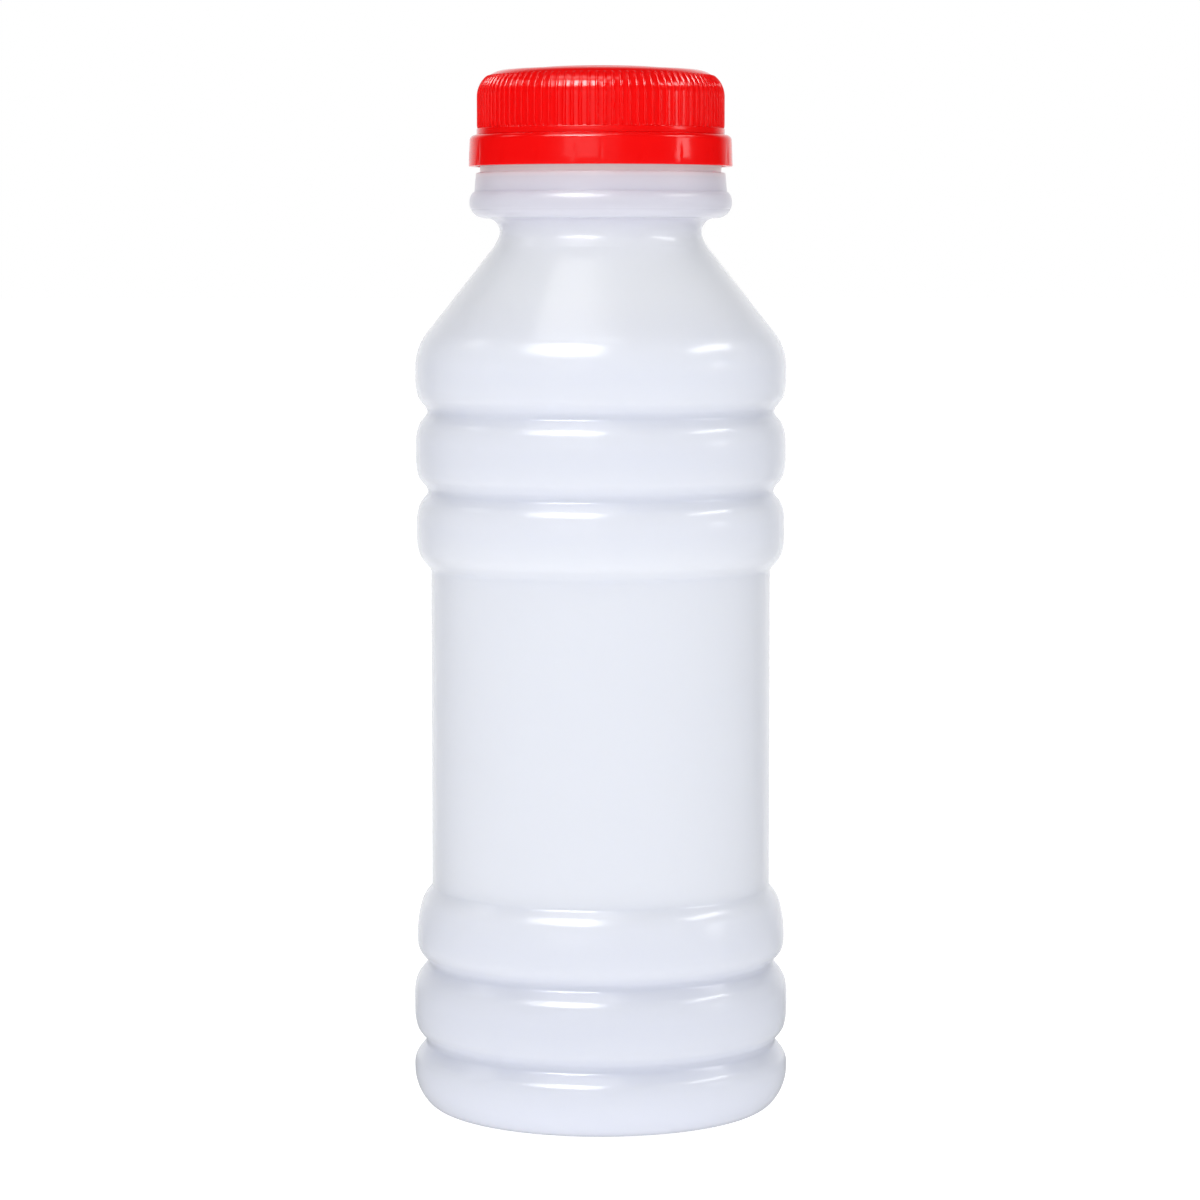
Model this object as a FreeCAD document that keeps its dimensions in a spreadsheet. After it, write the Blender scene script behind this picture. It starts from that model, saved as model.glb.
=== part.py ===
"""Drinking-yogurt bottle with a ribbed screw cap and its tamper band, in millimetres.

The axis is Z and the origin is the centre of the plane on which the foot stands.
Every outline is drawn in the XZ plane, on the +X side, and turned about Z.
"""
import FreeCAD, Part
import math
import os

import Sketcher

SIZES = {
    # foot and heel
    "body_radius": 29.95,
    "foot_inset": 4.9,
    "foot_land": 1.4,
    "foot_round": 4.0,
    "push_up_height": 3.6,
    "push_up_rim_height": 1.6,
    "push_up_rim_inset": 1.2,
    "heel_rise": 10.7,
    "heel_land": 0.3,
    "heel_ring_round": 3.6,
    # rings and the grooves between them
    "groove_depth": 1.8,
    "groove_round": 1.3,
    "ring_round": 4.65,
    "lower_ring_pitch": 12.8,
    "upper_ring_inset": 0.45,
    "upper_ring_pitch": 12.66,
    # recessed label panel and the rings at its foot and head
    "label_foot_inset": 0.47,
    "label_foot_rise": 12.55,
    "label_foot_round": 10.7,
    "panel_foot_round": 1.0,
    "panel_depth": 2.84,
    "panel_length": 50.1,
    "panel_head_round": 1.4,
    "label_head_inset": 0.55,
    "label_head_rise": 12.88,
    "label_head_round": 5.3,
    # shoulder, cone and waist
    "shoulder_ring_inset": 0.41,
    "shoulder_rise": 7.16,
    "shoulder_round": 8.85,
    "cone_rise": 21.45,
    "waist_inset": 3.1,
    "waist_round": 4.7,
    # bead, step ring, neck tube and the finish inside the cap
    "neck_radius": 19.14,
    "bead_rise": 4.59,
    "bead_proud": 1.7,
    "bead_round": 2.49,
    "ledge_rise": 1.58,
    "step_height": 3.07,
    "step_foot_width": 0.91,
    "step_head_width": 0.64,
    "step_chamfer": 0.25,
    "neck_rise": 4.46,
    "finish_setback": 1.24,
    "finish_height": 10.1,
    # screw cap
    "cap_clearance": 0.35,
    "cap_wall": 1.1,
    "cap_top": 1.55,
    "cap_round": 4.1,
    "collar_height": 0.75,
    "collar_proud": 0.31,
    "disc_radius": 11.1,
    "disc_height": 0.4,
    "disc_slope": 1.3,
    "disc_round": 0.6,
    "rib_radius": 0.28,
    "rib_run_out": 3.5,
    "rib_sweep": 75,
    "rib_count": 96,
    # tamper band
    "band_gap": 1.0,
    "band_clearance": 0.76,
    "band_wall": 1.02,
    "band_draft": 0.15,
    "band_height": 4.95,
    "band_round": 0.9,
    "band_lip_clearance": 1.0,
    "band_lip": 0.6,
    "bridge_gap": 0.25,
    "bridge_width": 0.8,
    "bridge_depth": 0.5,
    "bridge_count": 12,
}


SAME_PLACE = 0.001


class Length:
    """A length that carries its value and the sheet expression that gives it."""

    def __init__(self, value, text):
        self.value = value
        self.text = text

    def __add__(self, other):
        return Length(self.value + other.value, f"{self.text} + {other.text}")

    def __sub__(self, other):
        return Length(self.value - other.value, f"{self.text} - ({other.text})")


def size(name):
    return Length(SIZES[name], f"Sizes.{name}")


def write_sheet(doc):
    """Put each driving size in the sheet, with its name beside it and as its alias."""
    sheet = doc.addObject("Spreadsheet::Sheet", "Sizes")
    for row, (name, value) in enumerate(SIZES.items(), start=1):
        sheet.set(f"A{row}", name)
        sheet.set(f"B{row}", str(value))
        sheet.setAlias(f"B{row}", name)
    doc.recompute()


def origin_feature(body, role):
    return next(item for item in body.Origin.OriginFeatures if item.Role == role)


class Outline:
    """A sketch drawn as one chain of lines and arcs, with its sizes bound to the sheet."""

    CENTRE = 3
    ORIGIN = (-1, 1)
    ACROSS_AXIS = -1
    UP_AXIS = -2

    def __init__(self, body, name, x, y, plane="XZ_Plane"):
        self.sketch = body.newObject("Sketcher::SketchObject", name)
        self.sketch.AttachmentSupport = [(origin_feature(body, plane), "")]
        self.sketch.MapMode = "FlatFace"
        self.sketch.Visibility = False
        self.first = None
        self.last = None
        self.x = x
        self.y = y

    def rule(self, kind, *elements):
        self.sketch.addConstraint(Sketcher.Constraint(kind, *elements))

    def bind(self, kind, elements, length):
        constraint = Sketcher.Constraint(kind, *elements, length.value)
        index = self.sketch.addConstraint(constraint)
        self.sketch.setExpression(f"Constraints[{index}]", length.text)

    def pin_x(self, length):
        self.bind("DistanceX", (*self.ORIGIN, *self.last), length)

    def pin_y(self, length):
        self.bind("DistanceY", (*self.ORIGIN, *self.last), length)

    def pin_centre(self, x, y):
        centre = (self.last[0], self.CENTRE)
        self.bind("DistanceX", (*self.ORIGIN, *centre), x)
        self.bind("DistanceY", (*self.ORIGIN, *centre), y)

    def pin_radius(self, length):
        self.bind("Radius", (self.last[0],), length)

    def pin_length(self, length):
        self.bind("Distance", (self.last[0],), length)

    def end_on(self, axis):
        self.rule("PointOnObject", *self.last, axis)

    def follow(self, index, near, far, smooth):
        """Join a new piece to the end of the chain, in line with it where smooth."""
        if self.last is None:
            self.first = (index, near)
        else:
            self.rule("Tangent" if smooth else "Coincident", *self.last, index, near)
        self.last = (index, far)

    def line(self, x, y, rule=None, smooth=False):
        ends = (FreeCAD.Vector(self.x, self.y, 0), FreeCAD.Vector(x, y, 0))
        index = self.sketch.addGeometry(Part.LineSegment(*ends), False)
        self.follow(index, 1, 2, smooth)
        if rule:
            self.rule(rule, index)
        self.x = x
        self.y = y

    def corner(self, x, y):
        """A straight run to a corner that the sheet places."""
        self.line(x.value, y.value)
        self.pin_x(x)
        self.pin_y(y)

    def arc(self, x, y, radius, start, end, smooth=True):
        """An arc about x, y between two angles; clockwise where end is below start."""
        low, high = sorted((math.radians(start), math.radians(end)))
        centre = FreeCAD.Vector(x, y, 0)
        circle = Part.Circle(centre, FreeCAD.Vector(0, 0, 1), radius)
        index = self.sketch.addGeometry(Part.ArcOfCircle(circle, low, high), False)
        near, far = (1, 2) if end > start else (2, 1)
        self.follow(index, near, far, smooth)
        self.x = x + radius * math.cos(math.radians(end))
        self.y = y + radius * math.sin(math.radians(end))

    def close(self):
        self.rule("Coincident", *self.last, *self.first)


def s_bend(ring, ring_round, floor, floor_round):
    """Height and angle of the joint between a ring's round edge and the hollow beside it."""
    total_round = ring_round.value + floor_round.value
    reach = floor.value - ring.value + total_round
    rise = math.sqrt(total_round ** 2 - reach ** 2)
    return rise, math.degrees(math.atan2(rise, reach))


def draw_land(outline, ring, top):
    """The straight outer face of a ring, up to where its edge begins to turn in."""
    outline.line(ring.value, top, rule="Vertical", smooth=True)


def draw_edge(outline, ring, edge_round, height, start, end):
    """The round edge of a ring."""
    outline.arc(ring.value - edge_round.value, height, edge_round.value, start, end)
    outline.pin_radius(edge_round)


def groove_floor(below):
    """Floor radius and floor rounding of the groove above a ring."""
    return below - size("groove_depth"), size("groove_round")


def draw_groove(outline, below, above, below_round, height):
    """The hollow between two rings, from the head of one land to the foot of the next."""
    floor, floor_round = groove_floor(below)
    above_round = size("ring_round")
    drop, angle_in = s_bend(below, below_round, floor, floor_round)
    rise, angle_out = s_bend(above, above_round, floor, floor_round)
    centre = floor + floor_round
    draw_edge(outline, below, below_round, height.value - drop, 0, angle_in)
    outline.arc(centre.value, height.value, floor_round.value, 180 + angle_in, 180 - angle_out)
    outline.pin_radius(floor_round)
    outline.pin_centre(centre, height)
    draw_edge(outline, above, above_round, height.value + rise, -angle_out, 0)
    outline.pin_x(above)


def draw_base(outline):
    """The pushed-up base and the flat standing ring."""
    foot = size("body_radius") - size("foot_inset")
    inner = foot - size("foot_land")
    rim = inner - size("push_up_rim_inset")
    apex = size("push_up_height")
    rim_height = size("push_up_rim_height")
    sag = apex.value - rim_height.value
    dome = (rim.value ** 2 + sag ** 2) / (2 * sag)
    outline.arc(0, apex.value - dome, dome, 90, math.degrees(math.acos(rim.value / dome)))
    outline.pin_x(rim)
    outline.pin_y(rim_height)
    outline.rule("PointOnObject", outline.last[0], outline.CENTRE, outline.UP_AXIS)
    outline.rule("PointOnObject", *outline.first, outline.UP_AXIS)
    outline.bind("DistanceY", (*outline.ORIGIN, *outline.first), apex)
    outline.line(inner.value, 0)
    outline.pin_x(inner)
    outline.end_on(outline.ACROSS_AXIS)
    outline.line(foot.value, 0, rule="Horizontal")
    outline.pin_x(foot)
    return foot


def draw_heel(outline, foot, groove):
    """The foot's edge and the heel, which meets it in line and ends in the first ring."""
    ring = size("body_radius")
    foot_round = size("foot_round")
    drop = s_bend(ring, size("heel_ring_round"), *groove_floor(ring))[0]
    land_head = groove.value - drop
    land_foot = land_head - SIZES["heel_land"]
    climb = land_foot - foot_round.value
    inset = ring.value - foot.value
    spare = 2 * (inset - foot_round.value)
    heel_round = (climb ** 2 + inset ** 2 - foot_round.value ** 2) / spare
    joint = math.degrees(math.atan2(-climb, heel_round - inset))
    outline.arc(foot.value, foot_round.value, foot_round.value, -90, joint)
    outline.pin_radius(foot_round)
    outline.arc(ring.value - heel_round, land_foot, heel_round, joint, 0)
    outline.pin_x(ring)
    draw_land(outline, ring, land_head)
    outline.pin_length(size("heel_land"))
    draw_groove(outline, ring, ring, size("heel_ring_round"), groove)


def draw_ring(outline, below, above, groove):
    """A ring's land and the groove above it."""
    drop = s_bend(below, size("ring_round"), *groove_floor(below))[0]
    draw_land(outline, below, groove.value - drop)
    draw_groove(outline, below, above, size("ring_round"), groove)


def draw_panel(outline, below, above, foot, head):
    """The recessed label panel between the rings at its foot and its head."""
    panel = size("body_radius") - size("panel_depth")
    edge_round = size("label_foot_round")
    hollow = size("panel_foot_round")
    drop, angle = s_bend(below, edge_round, panel, hollow)
    draw_land(outline, below, foot.value - drop)
    draw_edge(outline, below, edge_round, foot.value - drop, 0, angle)
    outline.arc(panel.value + hollow.value, foot.value, hollow.value, 180 + angle, 180)
    outline.pin_radius(hollow)
    outline.pin_x(panel)
    outline.pin_y(foot)
    draw_land(outline, panel, head.value)
    outline.pin_y(head)
    edge_round = size("label_head_round")
    hollow = size("panel_head_round")
    rise, angle = s_bend(above, edge_round, panel, hollow)
    outline.arc(panel.value + hollow.value, head.value, hollow.value, 180, 180 - angle)
    outline.pin_radius(hollow)
    draw_edge(outline, above, edge_round, head.value + rise, -angle, 0)
    outline.pin_x(above)


def draw_cone(outline, ring, shoulder, waist_height):
    """The shoulder's round edge, the straight cone in line with it, and the waist's hollow."""
    edge_round = size("shoulder_round")
    waist_round = size("waist_round")
    waist = size("neck_radius") - size("waist_inset")
    draw_land(outline, ring, shoulder.value)
    outline.pin_y(shoulder)
    centre_x = waist.value + waist_round.value
    across = centre_x - ring.value + edge_round.value
    climb = waist_height.value - shoulder.value
    turn_in = math.acos((edge_round.value + waist_round.value) / math.hypot(across, climb))
    slope = math.atan2(climb, across) - turn_in
    degrees = math.degrees(slope)
    draw_edge(outline, ring, edge_round, shoulder.value, 0, degrees)
    cone_x = centre_x - waist_round.value * math.cos(slope)
    cone_y = waist_height.value - waist_round.value * math.sin(slope)
    outline.line(cone_x, cone_y, smooth=True)
    outline.arc(centre_x, waist_height.value, waist_round.value, 180 + degrees, 180)
    outline.pin_radius(waist_round)
    outline.pin_x(waist)
    outline.pin_y(waist_height)
    outline.rule("Horizontal", *outline.last, outline.last[0], outline.CENTRE)
    return waist


def draw_bead(outline, waist, waist_height, height, ledge):
    """The hollow from the waist to the bead, and the bead up to its flat ledge."""
    bead_round = size("bead_round")
    centre = size("neck_radius") + size("bead_proud") - bead_round
    climb = height.value - waist_height.value
    lead = centre.value - waist.value
    spare = 2 * (bead_round.value + lead)
    hollow = (climb ** 2 + lead ** 2 - bead_round.value ** 2) / spare
    joint = math.degrees(math.atan2(climb, lead - hollow))
    top = math.degrees(math.asin((ledge.value - height.value) / bead_round.value))
    outline.arc(waist.value + hollow, waist_height.value, hollow, 180, joint)
    outline.arc(centre.value, height.value, bead_round.value, joint - 180, top)
    outline.pin_radius(bead_round)
    outline.pin_centre(centre, height)
    outline.pin_y(ledge)


def draw_ceiling(outline, wall, ceiling, inward):
    """A wall, its round corner and the flat up to the axis, drawn inward or outward.

    The mouth of the bottle and the inside of the cap share it, so the one fits the other.
    """
    corner_round = size("cap_round") - size("cap_wall")
    corner_x = wall.value - corner_round.value
    corner_y = ceiling.value - corner_round.value
    if inward:
        outline.line(wall.value, corner_y, rule="Vertical")
        outline.arc(corner_x, corner_y, corner_round.value, 0, 90)
        outline.pin_radius(corner_round)
        outline.line(0, ceiling.value, rule="Horizontal", smooth=True)
        outline.end_on(outline.UP_AXIS)
        outline.pin_y(ceiling)
        return
    outline.line(0, ceiling.value)
    outline.end_on(outline.UP_AXIS)
    outline.pin_y(ceiling)
    outline.line(corner_x, ceiling.value, rule="Horizontal")
    outline.arc(corner_x, corner_y, corner_round.value, 90, 0)
    outline.pin_radius(corner_round)


def draw_neck(outline, levels):
    """The step ring on the ledge, the neck tube and the finish, up to the axis."""
    neck = size("neck_radius")
    step_head = neck + size("step_head_width")
    finish = neck - size("finish_setback")
    chamfer = size("step_chamfer")
    outline.line(neck.value + SIZES["step_foot_width"], levels["ledge"].value, rule="Horizontal")
    outline.pin_x(neck + size("step_foot_width"))
    outline.corner(step_head, levels["step"] - chamfer)
    outline.corner(step_head - chamfer, levels["step"])
    outline.corner(neck, levels["step"])
    outline.corner(neck, levels["neck"])
    outline.corner(finish, levels["neck"])
    draw_ceiling(outline, finish, levels["finish"], inward=True)
    outline.line(0, SIZES["push_up_height"])
    outline.close()


def bottle_levels():
    """The height of each level of the bottle, added up from the foot."""
    rises = {
        "heel groove": "heel_rise",
        "lower groove": "lower_ring_pitch",
        "panel foot": "label_foot_rise",
        "panel head": "panel_length",
        "label groove": "label_head_rise",
        "upper groove": "upper_ring_pitch",
        "shoulder": "shoulder_rise",
        "waist": "cone_rise",
        "bead": "bead_rise",
        "ledge": "ledge_rise",
        "step": "step_height",
        "neck": "neck_rise",
        "finish": "finish_height",
    }
    levels = {}
    below = None
    for level, rise in rises.items():
        below = below + size(rise) if below else size(rise)
        levels[level] = below
    return levels


def new_body(doc, label):
    body = doc.addObject("PartDesign::Body", label)
    body.Label = label
    body.Placement = FreeCAD.Placement()
    return body


def turn(body, outline, name):
    """Turn an outline about the axis."""
    solid = body.newObject("PartDesign::Revolution", name)
    solid.Profile = outline.sketch
    solid.ReferenceAxis = (outline.sketch, ["V_Axis"])
    solid.Angle = 360
    return solid


def repeat_round_axis(body, feature, name, count):
    """Repeat a feature evenly about the axis."""
    pattern = body.newObject("PartDesign::PolarPattern", name)
    pattern.Originals = [feature]
    pattern.Axis = (origin_feature(body, "Z_Axis"), [""])
    pattern.Angle = 360
    pattern.setExpression("Occurrences", f"Sizes.{count}")
    body.Tip = pattern
    return pattern


def round_edges(doc, body, base, name, circles):
    """Round the circular edges of a turned solid that have the given radius and height."""
    doc.recompute()
    names = []
    for number, edge in enumerate(base.Shape.Edges, start=1):
        if not isinstance(edge.Curve, Part.Circle):
            continue
        for radius, height in circles:
            miss = abs(edge.Curve.Radius - radius.value) + abs(edge.Curve.Center.z - height.value)
            if miss < SAME_PLACE:
                names.append(f"Edge{number}")
    rounded = body.newObject("PartDesign::Fillet", name)
    rounded.Base = (base, names)
    rounded.setExpression("Radius", f"Sizes.{name}")


def make_bottle(doc, levels):
    """The blown bottle, shut and full, as one solid of revolution."""
    body = new_body(doc, "bottle")
    ring = size("body_radius")
    label_foot = ring - size("label_foot_inset")
    label_head = ring - size("label_head_inset")
    upper = ring - size("upper_ring_inset")
    shoulder = ring - size("shoulder_ring_inset")
    outline = Outline(body, "bottle_outline", 0, SIZES["push_up_height"])
    foot = draw_base(outline)
    draw_heel(outline, foot, levels["heel groove"])
    draw_ring(outline, ring, label_foot, levels["lower groove"])
    draw_panel(outline, label_foot, label_head, levels["panel foot"], levels["panel head"])
    draw_ring(outline, label_head, upper, levels["label groove"])
    draw_ring(outline, upper, shoulder, levels["upper groove"])
    waist = draw_cone(outline, shoulder, levels["shoulder"], levels["waist"])
    draw_bead(outline, waist, levels["waist"], levels["bead"], levels["ledge"])
    draw_neck(outline, levels)
    turn(body, outline, "bottle_turned")
    return body


def cap_levels(levels):
    """Radii and heights of the cap, which fits over the finish and above the tamper band."""
    inner = size("neck_radius") - size("finish_setback") + size("cap_clearance")
    band_foot = levels["step"] + size("band_gap")
    band_head = band_foot + size("band_height")
    collar_foot = band_head + size("bridge_gap")
    return {
        "inner": inner,
        "valley": inner + size("cap_wall"),
        "collar": inner + size("cap_wall") + size("collar_proud"),
        "band foot": band_foot,
        "band head": band_head,
        "collar foot": collar_foot,
        "collar head": collar_foot + size("collar_height"),
        "ceiling": levels["finish"],
        "top": levels["finish"] + size("cap_top"),
    }


def draw_cup(body, cap):
    """The cap's section: collar, skirt, round shoulder, raised disc and inside."""
    cap_round = size("cap_round")
    disc = size("disc_radius")
    disc_head = disc - size("disc_slope")
    disc_top = cap["top"] + size("disc_height")
    shoulder = cap["top"] - cap_round
    outline = Outline(body, "cap_section", cap["inner"].value, cap["collar foot"].value)
    outline.corner(cap["collar"], cap["collar foot"])
    outline.corner(cap["collar"], cap["collar head"])
    outline.corner(cap["valley"], cap["collar head"])
    outline.line(cap["valley"].value, shoulder.value, rule="Vertical")
    edge_x = cap["valley"].value - cap_round.value
    outline.arc(edge_x, shoulder.value, cap_round.value, 0, 90)
    outline.pin_radius(cap_round)
    outline.line(disc.value, cap["top"].value, rule="Horizontal", smooth=True)
    outline.pin_x(disc)
    outline.pin_y(cap["top"])
    outline.corner(disc_head, disc_top)
    outline.line(0, disc_top.value, rule="Horizontal")
    outline.end_on(outline.UP_AXIS)
    draw_ceiling(outline, cap["inner"], cap["ceiling"], inward=False)
    outline.line(cap["inner"].value, cap["collar foot"].value, rule="Vertical", smooth=True)
    outline.pin_x(cap["inner"])
    outline.pin_y(cap["collar foot"])
    outline.close()
    return outline


def draw_rib(body, cap):
    """A half-round rib up the skirt, which sinks into the round shoulder at its head."""
    valley = cap["valley"]
    shoulder = cap["top"] - size("cap_round")
    run_out = size("rib_run_out")
    path = Outline(body, "rib_path", valley.value, cap["collar head"].value)
    path.line(valley.value, shoulder.value, rule="Vertical")
    path.pin_x(valley)
    path.pin_y(shoulder)
    path.bind("DistanceY", (*path.ORIGIN, *path.first), cap["collar head"])
    path.arc(valley.value - run_out.value, shoulder.value, run_out.value, 0, SIZES["rib_sweep"])
    path.pin_radius(run_out)
    sweep = Length(math.radians(SIZES["rib_sweep"]), "Sizes.rib_sweep * 1 deg")
    path.bind("Angle", (path.last[0],), sweep)
    foot = Outline(body, "rib_foot", valley.value, 0, plane="XY_Plane")
    foot.sketch.setExpression("AttachmentOffset.Base.z", cap["collar head"].text)
    centre = FreeCAD.Vector(valley.value, 0, 0)
    circle = Part.Circle(centre, FreeCAD.Vector(0, 0, 1), SIZES["rib_radius"])
    foot.last = (foot.sketch.addGeometry(circle, False), foot.CENTRE)
    foot.end_on(foot.ACROSS_AXIS)
    foot.pin_x(valley)
    foot.pin_radius(size("rib_radius"))
    rib = body.newObject("PartDesign::AdditivePipe", "rib")
    rib.Profile = foot.sketch
    rib.Spine = (path.sketch, ["Edge1", "Edge2"])
    return rib


def make_cap(doc, cap):
    """The screw cap: a cup over the finish, with a raised disc and ribs round its skirt."""
    body = new_body(doc, "cap")
    cup = turn(body, draw_cup(body, cap), "cap_cup")
    disc_edge = (size("disc_radius") - size("disc_slope"), cap["top"] + size("disc_height"))
    round_edges(doc, body, cup, "disc_round", [disc_edge])
    rib = draw_rib(body, cap)
    repeat_round_axis(body, rib, "ribs", "rib_count")
    return body


def draw_band(body, cap, lip):
    """The band's section: a drafted wall with a round head and a lip turned in under the collar."""
    foot = cap["band foot"]
    head = cap["band head"]
    inner = size("neck_radius") + size("band_clearance")
    outer = inner + size("band_wall")
    brow = outer - size("band_draft")
    band_round = size("band_round")
    outline = Outline(body, "band_section", inner.value, foot.value)
    outline.corner(outer, foot)
    outline.corner(brow, head - band_round)
    edge_x = brow.value - band_round.value
    edge_y = head.value - band_round.value
    outline.arc(edge_x, edge_y, band_round.value, 0, 90, smooth=False)
    outline.pin_radius(band_round)
    outline.pin_y(head)
    outline.line(lip.value, head.value, rule="Horizontal", smooth=True)
    outline.pin_x(lip)
    outline.corner(lip, head - size("band_lip"))
    outline.corner(inner, head - size("band_lip"))
    outline.corner(inner, foot)
    outline.close()
    return outline


def draw_bridge(body, cap, lip):
    """The footprint of a bridge, in the middle of the lip's face below the collar."""
    middle = (lip.value + cap["collar"].value) / 2
    depth = SIZES["bridge_depth"]
    half = SIZES["bridge_width"] / 2
    near = middle - depth / 2
    near_text = f"({lip.text} + {cap['collar'].text} - Sizes.bridge_depth) / 2"
    outline = Outline(body, "bridge_foot", near, -half, plane="XY_Plane")
    outline.sketch.setExpression("AttachmentOffset.Base.z", cap["band head"].text)
    outline.line(near, half)
    side = outline.last[0]
    outline.pin_x(Length(near, near_text))
    outline.pin_length(size("bridge_width"))
    outline.rule("Symmetric", side, 1, side, 2, outline.ACROSS_AXIS)
    outline.line(near + depth, half, rule="Horizontal")
    outline.pin_length(size("bridge_depth"))
    outline.line(near + depth, -half, rule="Vertical")
    outline.line(near, -half, rule="Horizontal")
    outline.close()
    return outline


def make_band(doc, cap):
    """The tamper band, whose bridges reach up to the collar."""
    body = new_body(doc, "tamper_band")
    lip = size("neck_radius") - size("finish_setback") + size("band_lip_clearance")
    turn(body, draw_band(body, cap, lip), "band_ring")
    bridge = body.newObject("PartDesign::Pad", "bridge")
    bridge.Profile = draw_bridge(body, cap, lip).sketch
    bridge.setExpression("Length", "Sizes.bridge_gap")
    repeat_round_axis(body, bridge, "bridges", "bridge_count")
    return body


def check(doc, bodies):
    """Stop on any failed object or faulty shape."""
    for item in doc.Objects:
        if {"Invalid", "Error"} & set(item.State):
            raise RuntimeError(f"{item.Name} is {item.State}")
    for body in bodies:
        if body.Shape.isNull() or not body.Shape.isValid():
            raise RuntimeError(f"{body.Label} has a faulty shape")


def main():
    doc = FreeCAD.newDocument("yogurt_bottle")
    write_sheet(doc)
    levels = bottle_levels()
    cap = cap_levels(levels)
    bodies = [make_bottle(doc, levels), make_cap(doc, cap), make_band(doc, cap)]
    doc.recompute()
    check(doc, bodies)
    os.makedirs("parts", exist_ok=True)
    for body in bodies:
        body.Shape.exportStep(f"parts/{body.Label}.step")
        print(body.Label, round(body.Shape.Volume, 1), "mm3", len(body.Shape.Solids), "solid")


main()
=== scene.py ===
"""A shut drinking-yogurt bottle of milky plastic, with a ribbed red cap and its tamper band.

Sizes are in millimetres, from the axis (r) and from the plane it stands on (z), until a mesh
is made. Every piece then lies in metres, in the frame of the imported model.
"""
import math

import bpy
import numpy as np
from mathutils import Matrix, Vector


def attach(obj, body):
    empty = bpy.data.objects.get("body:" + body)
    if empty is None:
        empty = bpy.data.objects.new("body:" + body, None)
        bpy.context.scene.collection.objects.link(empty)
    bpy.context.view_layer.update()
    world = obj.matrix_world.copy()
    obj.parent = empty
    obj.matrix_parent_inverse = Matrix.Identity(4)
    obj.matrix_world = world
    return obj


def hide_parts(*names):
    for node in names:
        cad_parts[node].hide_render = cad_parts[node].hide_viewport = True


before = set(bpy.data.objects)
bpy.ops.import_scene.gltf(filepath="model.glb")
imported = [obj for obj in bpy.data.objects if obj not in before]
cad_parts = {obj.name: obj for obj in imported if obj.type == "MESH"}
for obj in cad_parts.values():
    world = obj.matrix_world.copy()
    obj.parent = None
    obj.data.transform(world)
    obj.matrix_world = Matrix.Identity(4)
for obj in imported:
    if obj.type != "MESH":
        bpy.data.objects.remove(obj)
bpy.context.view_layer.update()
MM = 0.001
SHARP_ANGLE = math.radians(50)

# --- sizes of the bottle -----------------------------------------------------------------
BODY = 29.95
RINGS = {"heel": BODY, "lower": BODY, "label foot": 29.48, "label head": 29.40,
         "upper": 29.50, "shoulder": 29.54}
PANEL = 27.11
GROOVE_DEPTH = 1.85
BASE_DOME = {"height": 3.6, "rim radius": 22.45, "rim height": 1.6}
LAND_INNER, LAND_OUTER, LAND_ROUND = 23.65, 25.05, 0.35
FOOT_ROUND = 4.0
HEEL_FLAT = 0.3
# The side of a groove: hollow radius, steepest slope in degrees, radius of the ring's edge,
# the slope where the edge turns into the ring's crown, and the radius of that crown.
RING_HEAD = (0.75, 39, 3.9, 16, 8.5)
RING_FOOT = (1.5, 40, 2.6, 14, 10.0)
LABEL_UNDER = (1.2, 40, 3.0, 10, 4.6)
HEEL_HEAD = (0.75, 39, 2.8, 14, 5.0)
LABEL_FOOT = (0.9, 40, 5.4, 15, 21.0)
LABEL_HEAD = (1.4, 42, 4.2, 14, 9.0)
SHOULDER_EDGE = 8.85
WAIST = 16.04
# The waist's hollow: its tight radius, how far that turns up in degrees, and its wide radius.
WAIST_TIGHT, WAIST_TURN, WAIST_WIDE = 2.8, 24, 8.0
BEAD, BEAD_ROUND = 18.35, 2.49
NECK = 19.14
STEP_FOOT, STEP_HEAD = NECK + 0.91, NECK + 0.64
# The hidden top of the neck, where the cap sits.
MOUTH = 17.9
MOUTH_ROUND = 3.0
MOUTH_SPRING = 161.1
LEVEL = {"heel groove": 10.7, "lower groove": 23.5, "panel foot": 36.05, "panel head": 86.15,
         "label groove": 99.03, "upper groove": 111.69, "shoulder": 118.85, "waist": 140.30,
         "bead": 144.89, "ledge": 146.47, "step": 149.54, "neck": 154.0, "finish": 164.1}
# --- sizes of the cap and the tamper band ------------------------------------------------
CAP_INNER = 18.25
CAP_VALLEY = 19.35
CAP_COLLAR = 19.66
CAP_ROUND = 4.1
CAP_INSIDE_ROUND = 3.0
CAP_TOP = 165.65
DISC_TOP = 166.05
DISC_FOOT, DISC_EDGE = 11.1, 9.8
COLLAR_FOOT = 155.51
COLLAR_HEAD = 156.49
RIB_COUNT = 96
RIB_RADIUS = 0.28
RIB_RUN_OUT = 3.85
RIB_END = math.radians(54)
RIB_TAPER = math.radians(8)
GATE_RADIUS = 2.0
GATE_SINK = 0.25
GATE_PIP = 0.55
BAND_FOOT = 150.54
BAND_HEAD = 155.49
BAND_INNER = 19.90
BAND_OUTER = 20.92
BAND_BROW = 20.77
BAND_ROUND = 0.9
BAND_LIP = 18.90
BAND_LIP_DEPTH = 0.6


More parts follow.
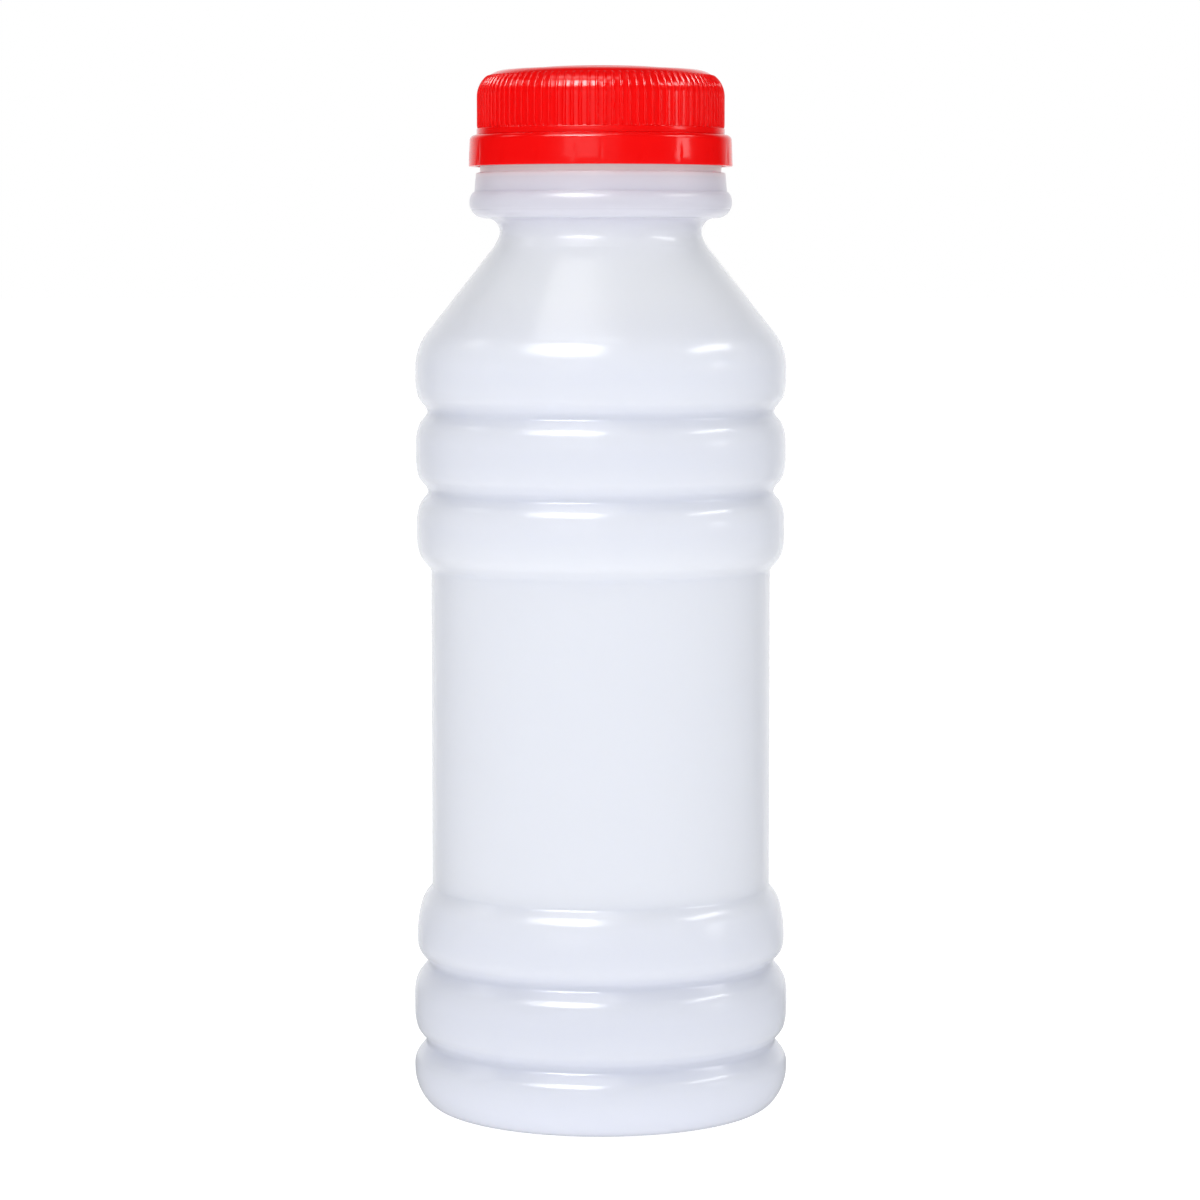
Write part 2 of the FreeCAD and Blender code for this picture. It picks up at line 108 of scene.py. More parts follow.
class Profile:
    """Points (r, z) of a section, in millimetres."""

    def __init__(self, r, z):
        self.points = [(r, z)]

    def line(self, r, z, step=1.5):
        r0, z0 = self.points[-1]
        count = max(1, math.ceil(math.hypot(r - r0, z - z0) / step))
        for k in range(1, count + 1):
            self.points.append((r0 + (r - r0) * k / count, z0 + (z - z0) * k / count))

    def arc(self, r, z, radius, start, end, step=0.28, least=3):
        """An arc about (r, z) between two angles in degrees, joined to what is there."""
        length = radius * math.radians(abs(end - start))
        count = max(least, math.ceil(length / step))
        a = math.radians(start)
        first = (r + radius * math.cos(a), z + radius * math.sin(a))
        if math.dist(first, self.points[-1]) > 1e-4:
            self.line(*first)
        for k in range(1, count + 1):
            a = math.radians(start + (end - start) * k / count)
            self.points.append((r + radius * math.cos(a), z + radius * math.sin(a)))

    def corners(self, *corners):
        """Straight runs through corners (r, z, round), each rounded by its own radius."""
        for k, (r, z, corner_round) in enumerate(corners):
            if not corner_round or k + 1 == len(corners):
                self.line(r, z)
                continue
            here = np.array((r, z))
            back = np.array(self.points[-1]) - here
            ahead = np.array(corners[k + 1][:2]) - here
            back /= np.linalg.norm(back)
            ahead /= np.linalg.norm(ahead)
            half = math.acos(float(np.clip(back @ ahead, -1, 1))) / 2
            reach = corner_round / math.tan(half)
            middle = (back + ahead) / np.linalg.norm(back + ahead)
            centre = here + middle * corner_round / math.sin(half)
            self.line(*(here + back * reach))
            a0 = math.degrees(math.atan2(*reversed(here + back * reach - centre)))
            a1 = math.degrees(math.atan2(*reversed(here + ahead * reach - centre)))
            turn = (a1 - a0 + 180) % 360 - 180
            self.arc(*centre, corner_round, a0, a0 + turn, step=0.08, least=4)


def ring_side(ring, floor, z, side, sign):
    """The side of a groove, from its floor out to the ring's widest place.

    Gives centre, radius and two angles of each arc. sign is -1 for the ring below the groove
    and 1 for the ring above it.
    """
    hollow, steep, edge, turn, crown = side
    a, b = math.radians(steep), math.radians(turn)
    bends = hollow * (1 - math.cos(a)) + edge * (math.cos(b) - math.cos(a))
    bends += crown * (1 - math.cos(b))
    straight = (ring - floor - bends) / math.sin(a)
    foot = (floor + hollow * (1 - math.cos(a)), z + sign * hollow * math.sin(a))
    head = (foot[0] + straight * math.sin(a), foot[1] + sign * straight * math.cos(a))
    edge_at = (head[0] - edge * math.cos(a), head[1] + sign * edge * math.sin(a))
    shift = edge - crown
    crown_at = (edge_at[0] + shift * math.cos(b), edge_at[1] - sign * shift * math.sin(b))
    return [(floor + hollow, z, hollow, 180, 180 - sign * steep),
            (*edge_at, edge, -sign * steep, -sign * turn),
            (*crown_at, crown, -sign * turn, 0)]


def add_side(p, ring, floor, z, side, sign):
    """Draw one side of a groove: down to its floor if sign is -1, up from it if 1."""
    arcs = ring_side(ring, floor, z, side, sign)
    if sign > 0:
        for r, level, radius, start, end in arcs:
            p.arc(r, level, radius, start, end, step=0.22)
        return
    for r, level, radius, start, end in reversed(arcs):
        p.arc(r, level, radius, end, start, step=0.22)


def add_groove(p, below, above, z, below_side=RING_HEAD, above_side=RING_FOOT):
    floor = (below + above) / 2 - GROOVE_DEPTH
    add_side(p, below, floor, z, below_side, -1)
    add_side(p, above, floor, z, above_side, 1)


def bottle_profile():
    """The section of the bottle from the middle of its base up to its mouth."""
    crown, rim = BASE_DOME["height"], BASE_DOME["rim radius"]
    p = Profile(0, crown)
    sag = crown - BASE_DOME["rim height"]
    dome = (rim ** 2 + sag ** 2) / (2 * sag)
    p.arc(0, crown - dome, dome, 90, math.degrees(math.acos(rim / dome)), step=0.9)
    p.corners((LAND_INNER, 0, LAND_ROUND), (LAND_OUTER, 0, 0))
    heel_floor = BODY - GROOVE_DEPTH
    widest = ring_side(BODY, heel_floor, LEVEL["heel groove"], HEEL_HEAD, -1)[-1][1]
    heel_head = widest - HEEL_FLAT
    climb = heel_head - FOOT_ROUND
    inset = BODY - LAND_OUTER
    heel = (climb ** 2 + inset ** 2 - FOOT_ROUND ** 2) / (2 * (inset - FOOT_ROUND))
    joint = math.degrees(math.atan2(-climb, heel - inset))
    p.arc(LAND_OUTER, FOOT_ROUND, FOOT_ROUND, -90, joint)
    p.arc(BODY - heel, heel_head, heel, joint, 0)
    add_groove(p, RINGS["heel"], RINGS["lower"], LEVEL["heel groove"], HEEL_HEAD)
    add_groove(p, RINGS["lower"], RINGS["label foot"], LEVEL["lower groove"],
               above_side=LABEL_UNDER)
    add_side(p, RINGS["label foot"], PANEL, LEVEL["panel foot"], LABEL_FOOT, -1)
    add_side(p, RINGS["label head"], PANEL, LEVEL["panel head"], LABEL_HEAD, 1)
    add_groove(p, RINGS["label head"], RINGS["upper"], LEVEL["label groove"])
    add_groove(p, RINGS["upper"], RINGS["shoulder"], LEVEL["upper groove"])
    add_shoulder(p)
    add_neck(p)
    return p.points


def add_shoulder(p):
    """The shoulder ring's edge, the cone and the waist's hollow, up to the waist."""
    reach = math.radians(WAIST_TURN)
    middle = (WAIST + WAIST_TIGHT + (WAIST_WIDE - WAIST_TIGHT) * math.cos(reach),
              LEVEL["waist"] + (WAIST_WIDE - WAIST_TIGHT) * math.sin(reach))
    across = middle[0] - RINGS["shoulder"] + SHOULDER_EDGE
    climb = middle[1] - LEVEL["shoulder"]
    span = math.hypot(across, climb)
    slope = math.atan2(climb, across) - math.acos((SHOULDER_EDGE + WAIST_WIDE) / span)
    degrees = math.degrees(slope)
    p.arc(RINGS["shoulder"] - SHOULDER_EDGE, LEVEL["shoulder"], SHOULDER_EDGE, 0, degrees)
    p.arc(*middle, WAIST_WIDE, 180 + degrees, 180 + WAIST_TURN, step=0.2)
    p.arc(WAIST + WAIST_TIGHT, LEVEL["waist"], WAIST_TIGHT, 180 + WAIST_TURN, 180, step=0.12)


def add_neck(p):
    """The bead, the ledge, the step and the neck, up to the middle of its top."""
    climb = LEVEL["bead"] - LEVEL["waist"]
    lead = BEAD - WAIST
    under = (climb ** 2 + lead ** 2 - BEAD_ROUND ** 2) / (2 * (BEAD_ROUND + lead))
    joint = math.degrees(math.atan2(climb, lead - under))
    top = math.degrees(math.asin((LEVEL["ledge"] - LEVEL["bead"]) / BEAD_ROUND))
    p.arc(WAIST + under, LEVEL["waist"], under, 180, joint, step=0.2)
    p.arc(BEAD, LEVEL["bead"], BEAD_ROUND, joint - 180, top, step=0.2)
    p.corners((STEP_FOOT, LEVEL["ledge"], 0.12), (STEP_HEAD, LEVEL["step"] - 0.1, 0.2),
              (STEP_HEAD - 0.2, LEVEL["step"], 0.1), (NECK, LEVEL["step"], 0.15),
              (NECK, LEVEL["neck"], 0), (MOUTH, LEVEL["neck"], 0), (MOUTH, MOUTH_SPRING, 0))
    p.arc(MOUTH - MOUTH_ROUND, MOUTH_SPRING, MOUTH_ROUND, 0, 90, step=0.8)
    p.line(0, LEVEL["finish"], step=4)


def lathe(profile, angles, shape):
    """A grid of points turned from a section, which shape(r, z, angle) moves, in metres."""
    section = np.array(profile) * MM
    theta = np.array(angles)
    r = np.repeat(section[:, :1], len(angles), axis=1)
    z = np.repeat(section[:, 1:], len(angles), axis=1)
    r, z = shape(r, z, theta[None, :])
    return np.stack((r * np.sin(theta), -r * np.cos(theta), z), axis=-1)


def turned_faces(rows, columns, first=0):
    """The quads between pairs of rows of a turned grid whose points start at first."""
    return [(first + i * columns + k, first + i * columns + (k + 1) % columns,
             first + j * columns + (k + 1) % columns, first + j * columns + k)
            for i, j in rows for k in range(columns)]


def mesh_object(name, verts, faces):
    mesh = bpy.data.meshes.new(name)
    mesh.from_pydata(verts, [], faces)
    mesh.validate()
    mesh.update()
    mesh.shade_smooth()
    mesh.set_sharp_from_angle(angle=SHARP_ANGLE)
    piece = bpy.data.objects.new(name, mesh)
    bpy.context.scene.collection.objects.link(piece)
    return piece


def closed_lathe(name, profile, angles, shape):
    """A turned piece whose section starts and ends on the axis."""
    grid = lathe(profile, angles, shape)
    rings, columns = grid.shape[:2]
    inside = grid[1:-1].reshape(-1, 3)
    poles = np.array([grid[0].mean(axis=0), grid[-1].mean(axis=0)])
    first, last = len(inside), len(inside) + 1
    body = rings - 2
    faces = turned_faces([(i, i + 1) for i in range(body - 1)], columns)
    top = (body - 1) * columns
    for k in range(columns):
        n = (k + 1) % columns
        faces.append((first, n, k))
        faces.append((last, top + k, top + n))
    return mesh_object(name, np.concatenate((inside, poles)).tolist(), faces)


# --- bottle ------------------------------------------------------------------------------
BOTTLE_STEPS = 180
SEAMS = (math.pi / 2, 3 * math.pi / 2)
SEAM_PROUD = 0.035 * MM
SEAM_WIDTH = math.radians(0.22)
SEAM_FOOT_RADIUS, SEAM_TOP = 23.5 * MM, 146 * MM
SWELL = 0.02 * MM
SWELL_FOOT, SWELL_HEAD, SWELL_LEAD = 34 * MM, 138 * MM, 6 * MM
PINCH_PROUD = 0.4 * MM
PINCH_WIDTH = 0.45 * MM
PINCH_REACH, PINCH_FADE = 17 * MM, 2 * MM
BASE_TOP, BASE_RIM = 4 * MM, 22.2 * MM


def bottle_angles():
    """Even steps round the bottle, with finer ones where the mould's halves meet."""
    even = [2 * math.pi * k / BOTTLE_STEPS for k in range(BOTTLE_STEPS)]
    fine = [seam + side * math.radians(a)
            for seam in SEAMS for side in (-1, 1) for a in (0.12, 0.3, 0.6)]
    return sorted(even + fine)


def bottle_shape(r, z, theta):
    """The mould's parting line, a pinch-off scar under the base and a slight unevenness."""
    off_seam = np.minimum(abs(theta - SEAMS[0]), abs(theta - SEAMS[1]))
    ridge = np.exp(-(off_seam / SEAM_WIDTH) ** 2)
    blown = (z < SEAM_TOP) & (r > SEAM_FOOT_RADIUS)
    r = r - SEAM_PROUD * (1 - ridge) * blown
    swell = np.sin(3 * theta + 40 * z) * np.sin(2 * theta - 0.7) * np.sin(z * 95)
    wall = (z > SWELL_FOOT) & (z < SWELL_HEAD)
    r = r - SWELL * (1 + swell) * wall * np.clip((z - SWELL_FOOT) / SWELL_LEAD, 0, 1)
    off_line = r * np.cos(theta)
    under = (z < BASE_TOP) & (r < BASE_RIM)
    scar = np.exp(-(off_line / PINCH_WIDTH) ** 4) * np.clip((PINCH_REACH - r) / PINCH_FADE, 0, 1)
    z = z - PINCH_PROUD * scar * under
    return r, z


def make_bottle():
    piece = closed_lathe("bottle_wall", bottle_profile(), bottle_angles(), bottle_shape)
    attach(piece, "root")
    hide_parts("bottle")
    return piece


# --- cap ---------------------------------------------------------------------------------
def cap_profile():
    """The section of the cap, up its inside from the foot of the collar and down its outside."""
    p = Profile(0, LEVEL["finish"])
    p.line(MOUTH - MOUTH_ROUND, LEVEL["finish"], step=4)
    p.arc(CAP_INNER - CAP_INSIDE_ROUND, MOUTH_SPRING, CAP_INSIDE_ROUND, 90, 0, step=1.2)
    p.line(CAP_INNER, COLLAR_FOOT + 0.2, step=6)
    p.corners((CAP_INNER, COLLAR_FOOT, 0.08), (CAP_COLLAR, COLLAR_FOOT, 0.05),
              (CAP_COLLAR, COLLAR_HEAD, 0.1), (CAP_VALLEY, COLLAR_HEAD, 0.1),
              (CAP_VALLEY, COLLAR_HEAD + 0.5, 0))
    p.line(CAP_VALLEY, CAP_TOP - CAP_ROUND, step=0.5)
    centre = (CAP_VALLEY - CAP_ROUND, CAP_TOP - CAP_ROUND)
    # The steps are finest where the ribs run out.
    for start, end, step in ((0, 42, 0.35), (42, 57, 0.1), (57, 90, 0.5)):
        p.arc(*centre, CAP_ROUND, start, end, step=step)
    p.corners((DISC_FOOT, CAP_TOP, 0.3), (DISC_EDGE, DISC_TOP, 0.6), (8.0, DISC_TOP, 0))
    p.line(GATE_RADIUS + 0.3, DISC_TOP, step=4)
    floor, pip = DISC_TOP - GATE_SINK, DISC_TOP - GATE_SINK / 2
    p.corners((GATE_RADIUS, floor, 0.12), (GATE_PIP, floor, 0.08),
              (GATE_PIP - 0.13, pip, 0.06), (0, pip, 0))
    return p.points


RIB_PITCH = 2 * math.pi / RIB_COUNT
RIB_STEPS = (-0.63, -0.40, -0.30, -0.24, -0.14, 0.0, 0.14, 0.24, 0.30, 0.40)
RIB_FOOT_LENGTH = 0.32 * MM
RIB_SOFT = 0.03 * MM
RIB_LEAST_RADIUS = 15.6 * MM
RIB_REACH = 1.35 * RIB_RADIUS * MM


def cap_angles():
    """Steps across each rib that follow its round face and leave its valley flat."""
    return sorted((k + 0.5) * RIB_PITCH + a / CAP_VALLEY
                  for k in range(RIB_COUNT) for a in RIB_STEPS)


def cap_shape(r, z, theta):
    """Raise the ribs from the skirt, rounded at the foot and run out over the shoulder."""
    across = ((theta / RIB_PITCH) % 1 - 0.5) * RIB_PITCH * CAP_VALLEY * MM
    radius = RIB_RADIUS * MM
    spring = (CAP_TOP - CAP_ROUND) * MM
    centre = (CAP_VALLEY - CAP_ROUND) * MM
    up = np.clip(z - spring, 0, None)
    psi = np.arctan2(up, np.clip(r - centre, 1e-9, None))
    run = RIB_RUN_OUT * MM
    offset = CAP_ROUND * MM - run
    path = offset * np.cos(psi) + np.sqrt(run ** 2 - (offset * np.sin(psi)) ** 2)
    taper = np.clip((psi - RIB_END + RIB_TAPER) / RIB_TAPER, 0, 1)
    depth = np.where(z > spring, CAP_ROUND * MM - path, 0)
    depth = depth + radius * (1 - np.sqrt(1 - taper ** 2))
    foot = (z - COLLAR_HEAD * MM) / RIB_FOOT_LENGTH
    foot = np.sqrt(np.clip(1 - (1 - np.clip(foot, 0, 1)) ** 2, 0, 1))
    crown = np.sqrt(np.clip(radius ** 2 - across ** 2, 0, None)) * foot - depth
    height = (crown + np.sqrt(crown ** 2 + RIB_SOFT ** 2)) / 2
    height = np.where(abs(across) < RIB_REACH, height, 0)
    outer = np.arange(len(r)) >= np.argmax(r[:, 0] > (CAP_COLLAR - 0.05) * MM)
    height *= outer[:, None] & (z > (COLLAR_HEAD + 0.02) * MM) & (r > RIB_LEAST_RADIUS)
    return r + height * np.cos(psi), z + height * np.sin(psi)


def make_cap():
    piece = closed_lathe("cap_shell", cap_profile(), cap_angles(), cap_shape)
    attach(piece, "root")
    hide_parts("cap")
    return piece


# --- tamper band -------------------------------------------------------------------------
def band_profile():
    p = Profile(BAND_INNER, BAND_FOOT + 0.3)
    p.corners((BAND_INNER, BAND_FOOT, 0.12), (BAND_OUTER, BAND_FOOT, 0.16),
              (BAND_BROW, BAND_HEAD - BAND_ROUND, 0))
    p.arc(BAND_BROW - BAND_ROUND, BAND_HEAD - BAND_ROUND, BAND_ROUND, 0, 90, step=0.12)
    under = BAND_HEAD - BAND_LIP_DEPTH
    p.corners((BAND_LIP, BAND_HEAD, 0.1), (BAND_LIP, under, 0.1),
              (BAND_INNER, under, 0), (BAND_INNER, BAND_FOOT + 0.3, 0))
    return p.points[:-1]


BAND_STEPS = 720
FLAP_PITCH = math.radians(18.4)
FLAP_AT = math.radians(-19.6)
FLAP_SINK = 0.12 * MM
FLAP_LEVEL = 1.1
FLAP_SLANT = 0.55
FLAP_HALF_WIDTH, FLAP_HALF_HEIGHT = 0.4 * MM, 1.0 * MM
BRIDGES = 12
BRIDGE_AT, BRIDGE_HALF_DEPTH, BRIDGE_HALF_WIDTH, BRIDGE_SUNK = 19.28, 0.25, 0.4, 0.1
BOX_FACES = ((3, 2, 1, 0), (4, 5, 6, 7), (0, 1, 5, 4), (1, 2, 6, 5), (2, 3, 7, 6), (3, 0, 4, 7))


def band_shape(r, z, theta):
    """Shallow slanting sinks outside the flaps that hold the band under the bottle's bead."""
    around = (theta - FLAP_AT + FLAP_PITCH / 2) % FLAP_PITCH - FLAP_PITCH / 2
    up = z - (BAND_FOOT + FLAP_LEVEL) * MM
    across = around * BAND_OUTER * MM - FLAP_SLANT * up
    sink = np.exp(-(across / FLAP_HALF_WIDTH) ** 2) * np.exp(-(up / FLAP_HALF_HEIGHT) ** 4)
    outside = (r > (BAND_BROW - 0.4) * MM) & (z < (BAND_HEAD - BAND_ROUND) * MM)
    return r - FLAP_SINK * sink * outside, z


def bridge_boxes():
    """The twelve small bridges that hold the band to the cap until it is first opened."""
    foot, head = BAND_HEAD - BRIDGE_SUNK, COLLAR_FOOT + BRIDGE_SUNK
    verts, faces = [], []
    for k in range(BRIDGES):
        a = 2 * math.pi * k / BRIDGES
        first = len(verts)
        for z in (foot, head):
            for near, side in ((-1, -1), (1, -1), (1, 1), (-1, 1)):
                along, across = BRIDGE_AT + near * BRIDGE_HALF_DEPTH, side * BRIDGE_HALF_WIDTH
                verts.append(((along * math.cos(a) - across * math.sin(a)) * MM,
                              (along * math.sin(a) + across * math.cos(a)) * MM, z * MM))
        faces += [tuple(first + i for i in face) for face in BOX_FACES]
    return verts, faces


def make_band():
    angles = [2 * math.pi * k / BAND_STEPS for k in range(BAND_STEPS)]
    grid = lathe(band_profile(), angles, band_shape)
    verts, faces = bridge_boxes()
    rings = len(grid)
    faces += turned_faces([(i, (i + 1) % rings) for i in range(rings)], BAND_STEPS, len(verts))
    piece = mesh_object("band_ring", verts + grid.reshape(-1, 3).tolist(), faces)
    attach(piece, "root")
    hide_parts("tamper_band")
    return piece


# --- materials ---------------------------------------------------------------------------
# Height in metres and the plastic's colour there. The milk reaches up to the waist, and the
# plastic is greyer above it.
# The colours also hold painted light: painted shade darkens the lowest rings, the rings under the
# shoulder and the bead, a painted glow lightens the cone under the waist, and painted light lifts
# the neck above the step, paler and pinker, against the band's shade.
MILK_AND_PAINTED_LIGHT_SHADES = ((0, (0.765, 0.785, 0.865)), (0.008, (0.755, 0.78, 0.864)),
               (0.022, (0.755, 0.78, 0.864)), (0.036, (0.82, 0.845, 0.93)),
               (0.088, (0.82, 0.845, 0.93)), (0.104, (0.79, 0.815, 0.90)),
               (0.118, (0.80, 0.825, 0.91)), (0.130, (0.84, 0.863, 0.938)),
               (0.1385, (0.855, 0.873, 0.94)), (0.1410, (0.83, 0.84, 0.915)),
               (0.1425, (0.755, 0.755, 0.835)), (0.1440, (0.67, 0.665, 0.745)),
               (0.1465, (0.70, 0.69, 0.775)), (0.1490, (0.72, 0.705, 0.79)),
               (0.1497, (0.96, 0.90, 0.95)), (0.156, (0.98, 0.92, 0.97)))
# Two heights in metres, and how rough the plastic is up to the first and from the second.
MILK_GLOSS = (0.141, 0.144, 0.2, 0.28)
# The red plastic's two shades, between which its noise moves.
REDS = ((0.93, 0.0006, 0.0008), (0.97, 0.001, 0.0014))
UNEVEN_DEPTH = 0.0002


def set_inputs(node, values):
    """Set a node's inputs by their names, with _ for each space."""
    for name, value in values.items():
        node.inputs[name.replace("_", " ")].default_value = value


class Nodes:
    """A node tree, with short ways to add nodes and link them."""

    def __init__(self, tree):
        self.tree = tree

    def add(self, kind, **values):
        node = self.tree.nodes.new(kind)
        set_inputs(node, values)
        return node

    def link(self, out, into):
        self.tree.links.new(out, into)

    def operate(self, kind, operation, *sockets):
        """The node of a mathematical operation on these values."""
        node = self.add(kind)
        node.operation = operation
        for socket, into in zip(sockets, node.inputs):
            self.link(socket, into)
        return node

    def larger(self, one, other):
        return self.operate("ShaderNodeMath", "MAXIMUM", one, other).outputs[0]

    def range(self, value, low, high, to_low, to_high, smooth=False):
        """A value moved from one range to another, and held at its ends."""
        node = self.add("ShaderNodeMapRange", From_Min=low, From_Max=high,
                        To_Min=to_low, To_Max=to_high)
        if smooth:
            node.interpolation_type = "SMOOTHSTEP"
        self.link(value, node.inputs["Value"])
        return node.outputs["Result"]

    def axis(self, vector, name):
        """One coordinate of a vector."""
        split = self.add("ShaderNodeSeparateXYZ")
        self.link(vector, split.inputs[0])
        return split.outputs[name]

    def mix(self, share, one, other):
        """The first shader where the share is 0, and the other where it is 1."""
        node = self.add("ShaderNodeMixShader")
        self.link(share, node.inputs[0])
        self.link(one.outputs[0], node.inputs[1])
        self.link(other.outputs[0], node.inputs[2])
        return node


class Plastic(Nodes):
    """The nodes of a glossy plastic whose surface is faintly uneven."""

    def __init__(self, name, noise_scale, bump_strength, **values):
        self.material = bpy.data.materials.new(name)
        self.material.use_nodes = True
        super().__init__(self.material.node_tree)
        self.shader = self.tree.nodes["Principled BSDF"]
        set_inputs(self.shader, values)
        self.place = self.add("ShaderNodeTexCoord").outputs["Object"]
        noise = self.add("ShaderNodeTexNoise", Scale=noise_scale)
        self.noise = noise.outputs["Fac"]
        self.link(self.place, noise.inputs["Vector"])
        bump = self.add("ShaderNodeBump", Strength=bump_strength, Distance=UNEVEN_DEPTH)
        self.link(self.noise, bump.inputs["Height"])
        self.link(bump.outputs["Normal"], self.shader.inputs["Normal"])

    def colour_by(self, value, stops):
        """Colour the plastic by a value, with stops of a level from 0 to 1 and a colour."""
        ramp = self.add("ShaderNodeValToRGB")
        elements = ramp.color_ramp.elements
        elements.remove(elements[1])
        for level, colour in stops:
            stop = elements[0] if level == 0 else elements.new(level)
            stop.color = (*colour, 1)
        self.link(value, ramp.inputs["Fac"])
        self.link(ramp.outputs["Color"], self.shader.inputs["Base Color"])


def milky_plastic():
    p = Plastic("milky_plastic", noise_scale=260, bump_strength=0.05, IOR=1.5,
                Subsurface_Weight=0.8, Subsurface_Radius=(1, 1, 1), Subsurface_Scale=0.005)
    height = p.axis(p.place, "Z")
    top = MILK_AND_PAINTED_LIGHT_SHADES[-1][0]
    stops = [(level / top, colour) for level, colour in MILK_AND_PAINTED_LIGHT_SHADES]
    # The ramp gives the milk's level and also paints shade and light by height.
    p.colour_by(p.range(height, 0, top, 0, 1), stops)
    p.link(p.range(height, *MILK_GLOSS), p.shader.inputs["Roughness"])
    return p.material


def red_plastic():
    p = Plastic("red_plastic", noise_scale=300, bump_strength=0.06, IOR=1.49, Roughness=0.15)
    p.colour_by(p.noise, zip((0, 1), REDS))
    return p.material


# --- studio ------------------------------------------------------------------------------
# Strength in front and behind, and where the change starts and is full (the sine of the way
# back). FILL lights the bottle, and MIRRORED shows in reflections.
FILL = (0.535, 0.45, -0.1, 0.75)
MIRRORED = (0.012, 1.0, 0.6, 1.0)
BACKDROP = 1.0
FLOOR_HALF = 12.0
# Grey and glow of the floor as the camera sees it, and as it lights the bottle.
FLOOR_SEEN = (0.5, 0.78)
FLOOR_LIT = (0.92, 0.33)
# The floor in reflections: where its own strength starts to fade, where it ends, and how
# strong it is at the bottle. Distances are from the middle, in metres.
NEAR_FLOOR = (0.1, 0.4, 0.35)
LENS, SENSOR, SHIFT = 121.5, 36, -0.0006
CAMERA_PITCH = math.radians(4.87)
CAMERA_DISTANCE, CAMERA_AIM = 0.648, 0.08158
LAMP_AIM = 0.085
# Name, azimuth and elevation in degrees, distance, width and height in metres, and radiance.
# True marks a shine lamp.
LAMPS = [
    ("front", -12, 15, 1.6, 1.6, 1.0, 1.53),
    ("right", 80, 12, 1.6, 1.0, 1.0, 0.5),
    ("top", 0, 88, 1.2, 1.2, 1.2, 0.6),
    ("back", 172, 25, 1.6, 1.2, 1.0, 1.1),
    ("key_shine", -26, 43, 1.2, 0.98, 0.48, 5.0, True),
    ("key_core_shine", -23, 43, 1.2, 0.5, 0.46, 12.0, True),
    ("top_shine", -25, 69, 1.2, 0.9, 0.3, 2.6, True),
    ("right_shine", 82, 35, 1.2, 0.62, 0.17, 8.0, True),
    ("left_shine", -98, 36, 1.2, 0.3, 0.3, 1.6, True),
    ("band_shine", -17, 9, 1.2, 0.6, 0.14, 0.8, True),
    ("band_edge_shine", 77, 9, 1.2, 0.24, 0.16, 3.2, True),
]


def ray_share(nodes, *kinds):
    """1 for rays of the named kinds, 0 for the rest."""
    path = nodes.add("ShaderNodeLightPath")
    share = path.outputs[kinds[0]]
    for kind in kinds[1:]:
        share = nodes.larger(share, path.outputs[kind])
    return share


def back_share(nodes, direction, front, behind, start, full):
    """A strength that goes from front to behind as a direction turns away from the camera."""
    return nodes.range(nodes.axis(direction, "Y"), start, full, front, behind, smooth=True)


def make_floor():
    """A pale floor that takes the bottle's shadow, with its own strength in reflections."""
    half = FLOOR_HALF
    corners = [(-half, -half, 0), (half, -half, 0), (half, half, 0), (-half, half, 0)]
    mesh = bpy.data.meshes.new("floor")
    mesh.from_pydata(corners, [], [(0, 1, 2, 3)])
    floor = bpy.data.objects.new("floor", mesh)
    bpy.context.scene.collection.objects.link(floor)
    material = bpy.data.materials.new("pale_floor")
    material.use_nodes = True
    nodes = Nodes(material.node_tree)
    nodes.tree.nodes.clear()

    def glowing(grey, glow):
        paint = nodes.add("ShaderNodeBsdfDiffuse", Color=(grey, grey, grey, 1))
        light = nodes.add("ShaderNodeEmission", Strength=glow)
        both = nodes.add("ShaderNodeAddShader")
        nodes.link(paint.outputs[0], both.inputs[0])
        nodes.link(light.outputs[0], both.inputs[1])
        return both

    place = nodes.add("ShaderNodeTexCoord").outputs["Object"]
    toward = nodes.operate("ShaderNodeVectorMath", "NORMALIZE", place)
    reach = nodes.operate("ShaderNodeVectorMath", "LENGTH", place)
    near = nodes.range(reach.outputs["Value"], *NEAR_FLOOR, 0, smooth=True)
    mirrored = nodes.add("ShaderNodeEmission")
    strength = nodes.larger(back_share(nodes, toward.outputs[0], *MIRRORED), near)
    nodes.link(strength, mirrored.inputs["Strength"])
    plain = nodes.mix(ray_share(nodes, "Is Camera Ray"), glowing(*FLOOR_LIT), glowing(*FLOOR_SEEN))
    whole = nodes.mix(ray_share(nodes, "Is Glossy Ray"), plain, mirrored)
    out = nodes.add("ShaderNodeOutputMaterial")
    nodes.link(whole.outputs[0], out.inputs[0])
    mesh.materials.append(material)


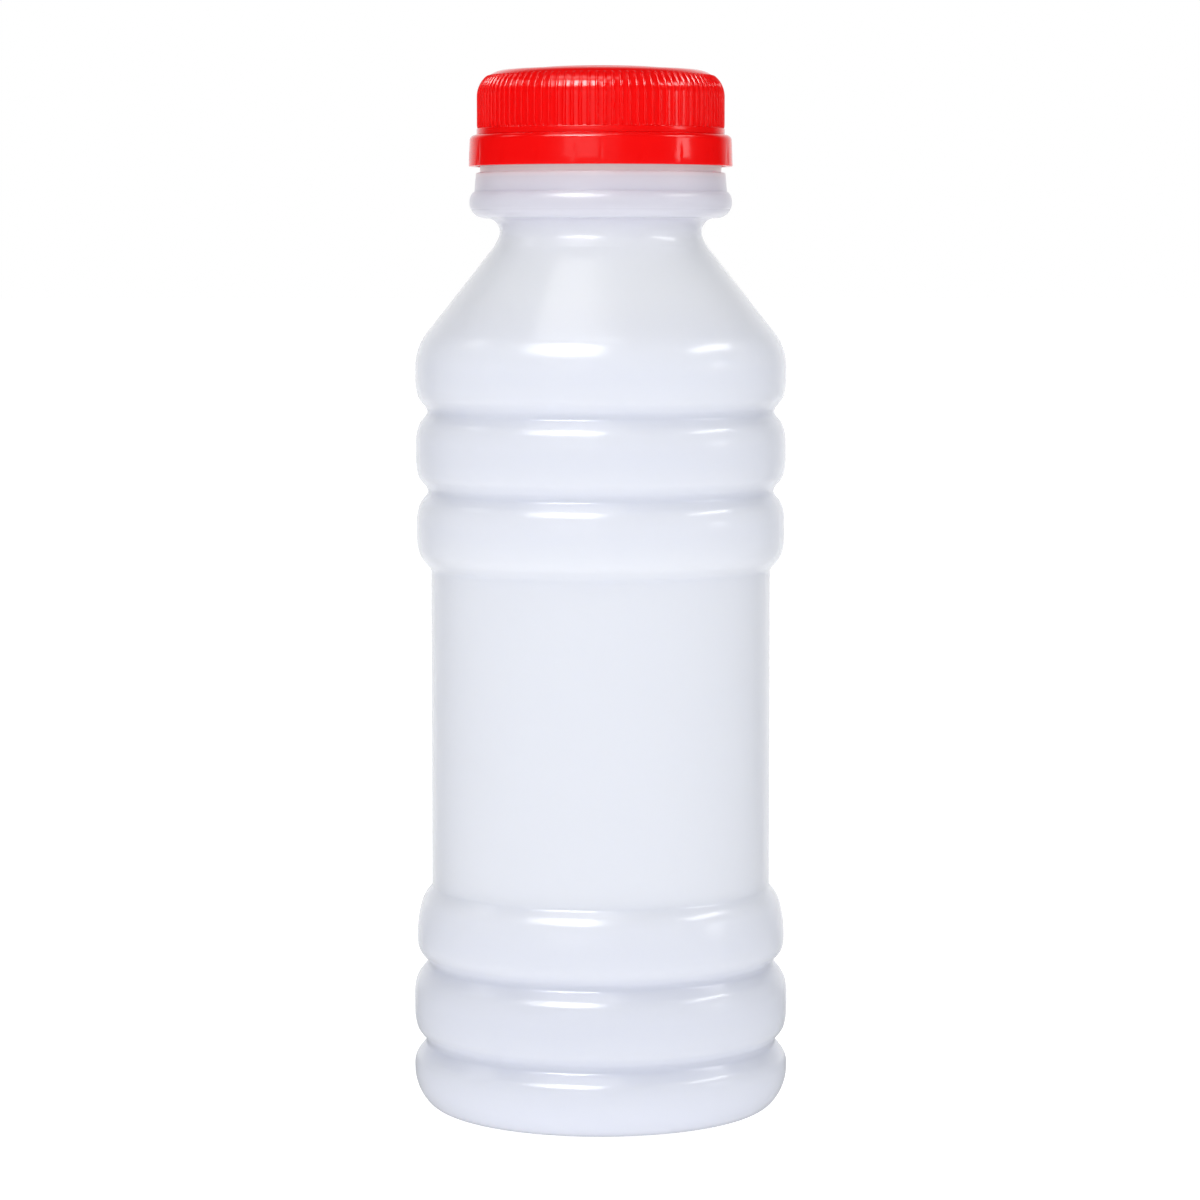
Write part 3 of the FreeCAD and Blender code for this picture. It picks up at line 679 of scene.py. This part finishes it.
def make_world():
    """Even fill, a white backdrop for the camera, and a dim front and pale back in reflections."""
    world = bpy.data.worlds.new("studio")
    bpy.context.scene.world = world
    world.use_nodes = True
    nodes = Nodes(world.node_tree)
    nodes.tree.nodes.clear()
    direction = nodes.add("ShaderNodeTexCoord").outputs["Generated"]

    def graded(strengths):
        node = nodes.add("ShaderNodeBackground", Color=(1, 1, 1, 1))
        nodes.link(back_share(nodes, direction, *strengths), node.inputs["Strength"])
        return node

    shiny = ray_share(nodes, "Is Glossy Ray", "Is Transmission Ray")
    lit = nodes.mix(shiny, graded(FILL), graded(MIRRORED))
    backdrop = nodes.add("ShaderNodeBackground", Color=(1, 1, 1, 1), Strength=BACKDROP)
    seen = nodes.mix(ray_share(nodes, "Is Camera Ray"), lit, backdrop)
    out = nodes.add("ShaderNodeOutputWorld")
    nodes.link(seen.outputs[0], out.inputs[0])


def softbox(name, azimuth, elevation, distance, width, height, radiance, shine=False):
    """A rectangular lamp aimed at the bottle. Azimuth 0 is on the camera's side.

    A shine lamp shows only in reflections, and to rays that pass through a surface. The
    others give all the other light and show in no reflection.
    """
    a, e = math.radians(azimuth), math.radians(elevation)
    toward = Vector((math.sin(a) * math.cos(e), -math.cos(a) * math.cos(e), math.sin(e)))
    light = bpy.data.lights.new(name, "AREA")
    light.shape = "RECTANGLE"
    light.size = width
    light.size_y = height
    light.energy = radiance * math.pi * width * height
    lamp = bpy.data.objects.new(name, light)
    lamp.location = Vector((0, 0, LAMP_AIM)) + toward * distance
    lamp.rotation_mode = "QUATERNION"
    lamp.rotation_quaternion = toward.to_track_quat("Z", "Y")
    lamp.visible_glossy = shine
    lamp.visible_diffuse = not shine
    lamp.visible_transmission = shine
    bpy.context.scene.collection.objects.link(lamp)


def make_camera():
    data = bpy.data.cameras.new("camera")
    data.sensor_width = SENSOR
    data.lens = LENS
    data.shift_x = SHIFT
    camera = bpy.data.objects.new("camera", data)
    back = Vector((0, -math.cos(CAMERA_PITCH), math.sin(CAMERA_PITCH)))
    camera.location = Vector((0, 0, CAMERA_AIM)) + back * CAMERA_DISTANCE
    camera.rotation_euler = (math.pi / 2 - CAMERA_PITCH, 0, 0)
    bpy.context.scene.collection.objects.link(camera)
    bpy.context.scene.camera = camera


# --- the whole scene ---------------------------------------------------------------------
bottle = make_bottle()
cap = make_cap()
band = make_band()
bottle.data.materials.append(milky_plastic())
red = red_plastic()
cap.data.materials.append(red)
band.data.materials.append(red)
make_floor()
make_world()
for lamp in LAMPS:
    softbox(*lamp)
make_camera()
bpy.context.scene.view_settings.view_transform = "Standard"
